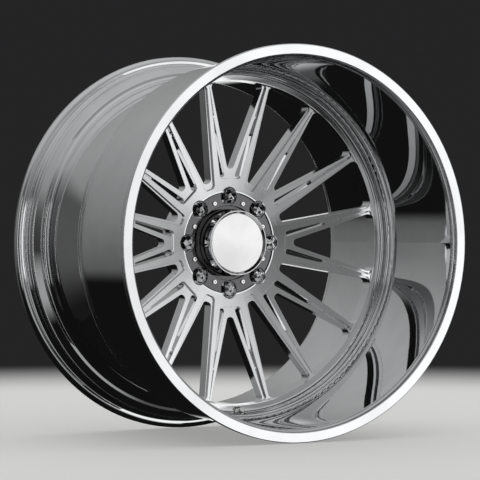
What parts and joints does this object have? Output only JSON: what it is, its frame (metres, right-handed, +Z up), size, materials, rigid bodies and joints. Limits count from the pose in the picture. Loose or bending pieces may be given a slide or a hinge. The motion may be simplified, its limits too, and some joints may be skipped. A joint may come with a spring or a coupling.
{
  "type": "wheel rim",
  "caption": "Polished forged deep-lip truck wheel with slim milled spokes, closed centre cap, lug nuts and a clamp-in tyre valve.",
  "frame": {"origin": "on the axle line, halfway across the overall width of the rim", "axes": "+Y along the axle line towards the vehicle (mounting side), -Y towards the street side, +Z up, valve at the bottom"},
  "size_m": [0.7001, 0.434, 0.7002],
  "materials": {
    "forged_centre": "milled and polished",
    "polished_lip": "mirror polished",
    "turned_barrel": "turned and polished",
    "weld_metal": "dressed flush",
    "cap_chrome": "bright chrome",
    "smoked_chrome": "smoked chrome",
    "cap_plate": "plain satin light grey",
    "seal_rubber": "matte black",
    "screw_steel": "bright zinc",
    "nut_chrome": "bright chrome",
    "valve_nickel": "nickel plate",
    "valve_cap_metal": "knurled chrome",
    "core_brass": "bare brass",
    "core_gasket": "red sealing ring",
    "spring_steel": "drawn wire"
  },
  "bodies": {
    "wheel": {"wheel_center": "forged_centre", "outer_lip": "polished_lip", "inner_barrel": "turned_barrel", "weld_bead_front": "weld_metal", "weld_bead_rear": "weld_metal", "center_cap_can": "cap_chrome", "center_cap_bezel": "cap_chrome", "center_cap_face_plate": "cap_plate", "center_cap_base_ring": "smoked_chrome", "center_cap_o_ring": "seal_rubber", "center_cap_screws": "screw_steel", "lug_nuts": "nut_chrome", "valve_stem_body": "valve_nickel", "valve_grommet": "seal_rubber", "valve_washer": "valve_nickel", "valve_nut": "valve_nickel", "valve_core_body": "core_brass", "valve_core_gasket": "core_gasket", "valve_core_spring": "spring_steel"},
    "valve_cap_washer": {"valve_cap_seal": "seal_rubber"},
    "valve_cap_shell": {"valve_cap": "valve_cap_metal"},
    "valve_pin": {"valve_core_pin": "core_brass", "valve_core_seal": "seal_rubber"}
  },
  "joints": [
    {"name": "valve_cap_lift", "type": "slide", "parent": "wheel", "child": "valve_cap_washer", "axis": [0, -0.866, 0.5], "range_m": [0, 0.00397]},
    {"name": "valve_cap_unscrew", "type": "hinge", "parent": "valve_cap_washer", "child": "valve_cap_shell", "pos_m": [0, -0.00929, -0.3045], "axis": [0, -0.866, 0.5], "range_deg": [0, 1800]},
    {"name": "valve_pin_press", "type": "slide", "parent": "wheel", "child": "valve_pin", "axis": [0, 0.866, -0.5], "range_m": [0, 0.0012], "stiffness_N_per_m": 1500, "springref_m": -0.0006, "deforming": ["valve_core_spring"]}
  ],
  "couplings": [
    {"joint": "valve_cap_unscrew", "follows": "valve_cap_lift", "rad_per_m": 7913.3}
  ]
}
